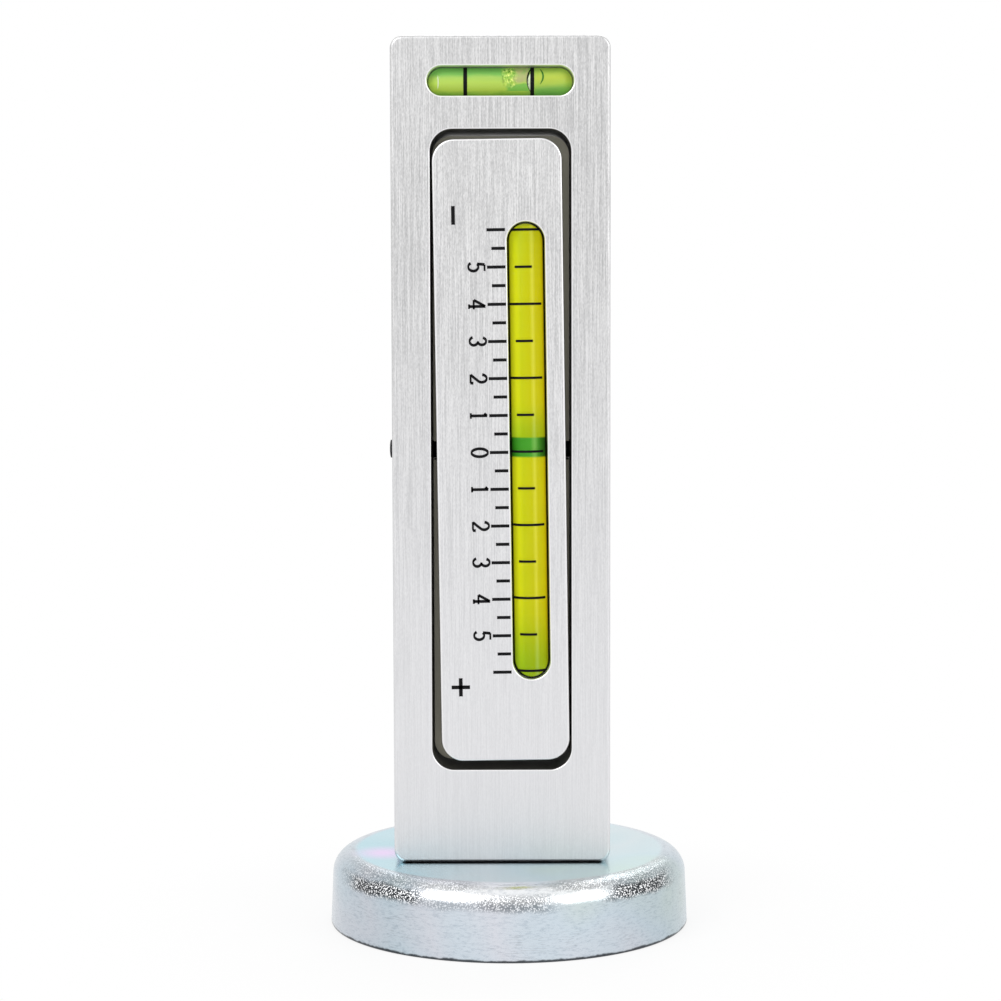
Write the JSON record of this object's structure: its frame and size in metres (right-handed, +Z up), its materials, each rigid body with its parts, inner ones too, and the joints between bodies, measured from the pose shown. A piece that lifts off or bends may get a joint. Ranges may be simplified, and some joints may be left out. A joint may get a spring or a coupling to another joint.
{
  "type": "camber caster gauge",
  "caption": "Magnetic wheel alignment gauge: a swivel bar with long bubble vials and degree scales turns in the window of an aluminium tower on a round magnetic cup base.",
  "frame": {"origin": "centre of the round magnetic face, where the base meets a hub or brake disc", "axes": "+Z up through the tower, -Y out of the front face with the camber scale, +X to the right as seen from the front"},
  "size_m": [0.06, 0.06, 0.1467],
  "materials": {
    "zinc_steel": "zinc plated, pale blue",
    "brushed_aluminium": "fine vertical brushing",
    "ferrite": "ground ferrite",
    "pole_steel": "turned",
    "resin": "cast",
    "fastener_steel": "bright",
    "black_steel": "black oxide",
    "bush_bronze": "sintered",
    "vial_tube": "clear acrylic",
    "vial_liquid": "yellow-green spirit",
    "cross_liquid": "green spirit",
    "bubble": "air",
    "stopper": "moulded",
    "bedding": "cast white",
    "print_black": "printed"
  },
  "bodies": {
    "tower": {"magnet_cup": "zinc_steel", "ring_magnet": "ferrite", "centre_pole": "pole_steel", "potting_resin": "resin", "base_screw": "fastener_steel", "lock_washer": "fastener_steel", "dowel_pins": "fastener_steel", "frame": "brushed_aluminium", "pivot_pin": "black_steel", "pivot_set_screw": "black_steel", "cross_vial_tube": "vial_tube", "cross_vial_liquid": "cross_liquid", "cross_vial_marks": "print_black", "cross_vial_bedding": "bedding"},
    "bar": {"swivel_bar": "brushed_aluminium", "bar_bushes": "bush_bronze", "bar_end_plugs": "resin", "camber_scale": "print_black", "caster_scale": "print_black", "camber_vial_tube": "vial_tube", "camber_vial_liquid": "vial_liquid", "camber_vial_marks": "print_black", "camber_vial_stoppers": "stopper", "camber_vial_bedding": "bedding", "caster_vial_tube": "vial_tube", "caster_vial_liquid": "vial_liquid", "caster_vial_marks": "print_black", "caster_vial_stoppers": "stopper", "caster_vial_bedding": "bedding"},
    "cross_air": {"cross_bubble": "bubble"},
    "camber_air": {"camber_bubble": "bubble"},
    "caster_air": {"caster_bubble": "bubble"}
  },
  "joints": [
    {"name": "bar_swivel", "type": "hinge", "parent": "tower", "child": "bar", "pos_m": [-0.0011, 0, 0.07965], "axis": [1, 0, 0], "continuous": true},
    {"name": "cross_bubble_run", "type": "slide", "parent": "tower", "child": "cross_air", "axis": [1, 0, 0], "range_m": [-0.0098, 0.0032]},
    {"name": "camber_bubble_run", "type": "slide", "parent": "bar", "child": "camber_air", "axis": [-0.0126, 0, 0.9999], "range_m": [-0.0762, 0]},
    {"name": "caster_bubble_run", "type": "slide", "parent": "bar", "child": "caster_air", "axis": [-0.0126, 0, 0.9999], "range_m": [-0.0762, 0]}
  ]
}
